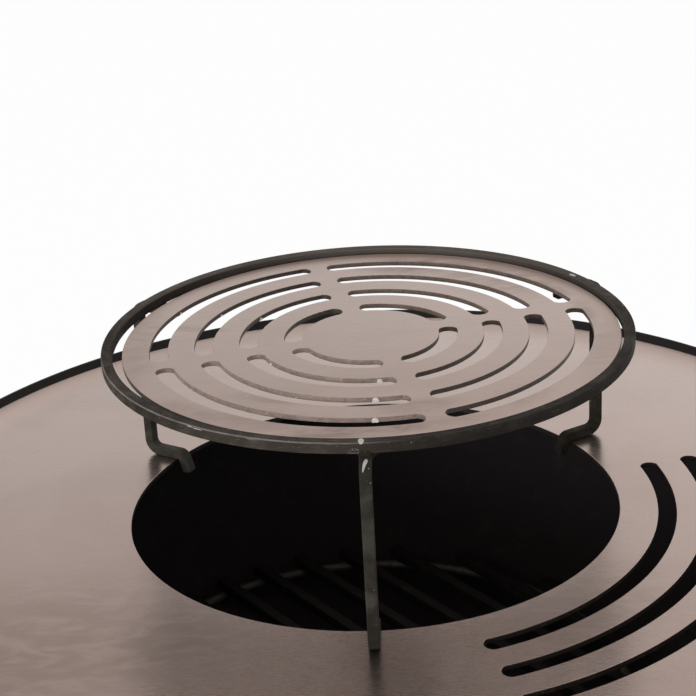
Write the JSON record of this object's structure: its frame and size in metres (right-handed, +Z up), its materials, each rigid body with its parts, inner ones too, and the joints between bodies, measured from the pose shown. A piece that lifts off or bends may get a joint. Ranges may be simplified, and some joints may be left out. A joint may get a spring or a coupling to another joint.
{
  "type": "fire bowl charcoal grill",
  "caption": "Round charcoal grill: a flat steel griddle plate round a fire hole, a slotted grate disc on a legged ring above it, and a dished fire bowl on a four-legged base.",
  "frame": {"origin": "on the ground, under the middle of the griddle plate's fire hole", "axes": "+Z up, +Y away from the cook who pulls out the ash pan, +X towards the damper's lever"},
  "size_m": [0.9999, 1, 1.0795],
  "materials": {
    "ground_steel": "ground bare steel with cloudy heat marks",
    "mill_steel": "dark mill scale, worn lighter in patches",
    "black_paint": "matt black heat-resistant paint",
    "bright_steel": "bright zinc plating",
    "knob_plastic": "black heat-resistant plastic"
  },
  "bodies": {
    "base": {"cradle_ring": "black_paint", "brace_ring": "black_paint", "base_leg_back_right": "black_paint", "base_leg_back_left": "black_paint", "base_leg_front_left": "black_paint", "base_leg_front_right": "black_paint", "leg_caps": "black_paint", "foot_plugs": "bright_steel", "lock_nuts": "bright_steel", "frame_bolts": "bright_steel", "frame_washers": "bright_steel", "frame_nuts": "bright_steel"},
    "bowl": {"fire_bowl": "black_paint", "bowl_flange": "black_paint", "bowl_handle_right": "mill_steel", "bowl_handle_left": "mill_steel", "grate_ledges": "mill_steel", "ash_chute": "black_paint", "chute_plate": "black_paint", "pan_rail_right": "mill_steel", "pan_rail_left": "mill_steel"},
    "damper": {"damper_disc": "mill_steel", "damper_spindle": "bright_steel", "damper_screws": "bright_steel", "damper_lever": "mill_steel", "lever_knob": "knob_plastic"},
    "pan": {"ash_pan": "black_paint", "pan_handle": "bright_steel"},
    "charcoal_grate": {"charcoal_grate_ring": "mill_steel", "charcoal_grate_bars": "mill_steel"},
    "griddle": {"griddle_plate": "ground_steel", "plate_rim": "black_paint", "plate_lugs": "mill_steel"},
    "stand": {"stand_ring": "mill_steel", "stand_leg_right": "mill_steel", "stand_leg_left": "mill_steel", "stand_leg_front": "mill_steel", "stand_welds": "mill_steel"},
    "disc": {"grate_disc": "ground_steel"},
    "leveller_back_right": {"foot_back_right": "bright_steel"},
    "leveller_back_left": {"foot_back_left": "bright_steel"},
    "leveller_front_left": {"foot_front_left": "bright_steel"},
    "leveller_front_right": {"foot_front_right": "bright_steel"}
  },
  "joints": [
    {"name": "bowl_lift", "type": "slide", "parent": "base", "child": "bowl", "axis": [0, 0, 1], "range_m": [0, 0.3]},
    {"name": "damper_turn", "type": "hinge", "parent": "bowl", "child": "damper", "pos_m": [0, 0, 0.552], "axis": [1, 0, 0], "range_deg": [-90, 0]},
    {"name": "pan_slide", "type": "slide", "parent": "bowl", "child": "pan", "axis": [0, -1, 0], "range_m": [0, 0.2]},
    {"name": "charcoal_grate_lift", "type": "slide", "parent": "bowl", "child": "charcoal_grate", "axis": [0, 0, 1], "range_m": [0, 0.15]},
    {"name": "griddle_lift", "type": "slide", "parent": "bowl", "child": "griddle", "axis": [0, 0, 1], "range_m": [0, 0.12]},
    {"name": "stand_lift", "type": "slide", "parent": "griddle", "child": "stand", "axis": [0, 0, 1], "range_m": [0, 0.1]},
    {"name": "disc_lift", "type": "slide", "parent": "stand", "child": "disc", "axis": [0, 0, 1], "range_m": [0, 0.06]},
    {"name": "leveller_back_right_turn", "type": "hinge", "parent": "base", "child": "leveller_back_right", "pos_m": [0.25314, 0.25314, 0], "axis": [0, 0, 1], "continuous": true},
    {"name": "leveller_back_left_turn", "type": "hinge", "parent": "base", "child": "leveller_back_left", "pos_m": [-0.25314, 0.25314, 0], "axis": [0, 0, 1], "continuous": true},
    {"name": "leveller_front_left_turn", "type": "hinge", "parent": "base", "child": "leveller_front_left", "pos_m": [-0.25314, -0.25314, 0], "axis": [0, 0, 1], "continuous": true},
    {"name": "leveller_front_right_turn", "type": "hinge", "parent": "base", "child": "leveller_front_right", "pos_m": [0.25314, -0.25314, 0], "axis": [0, 0, 1], "continuous": true}
  ]
}
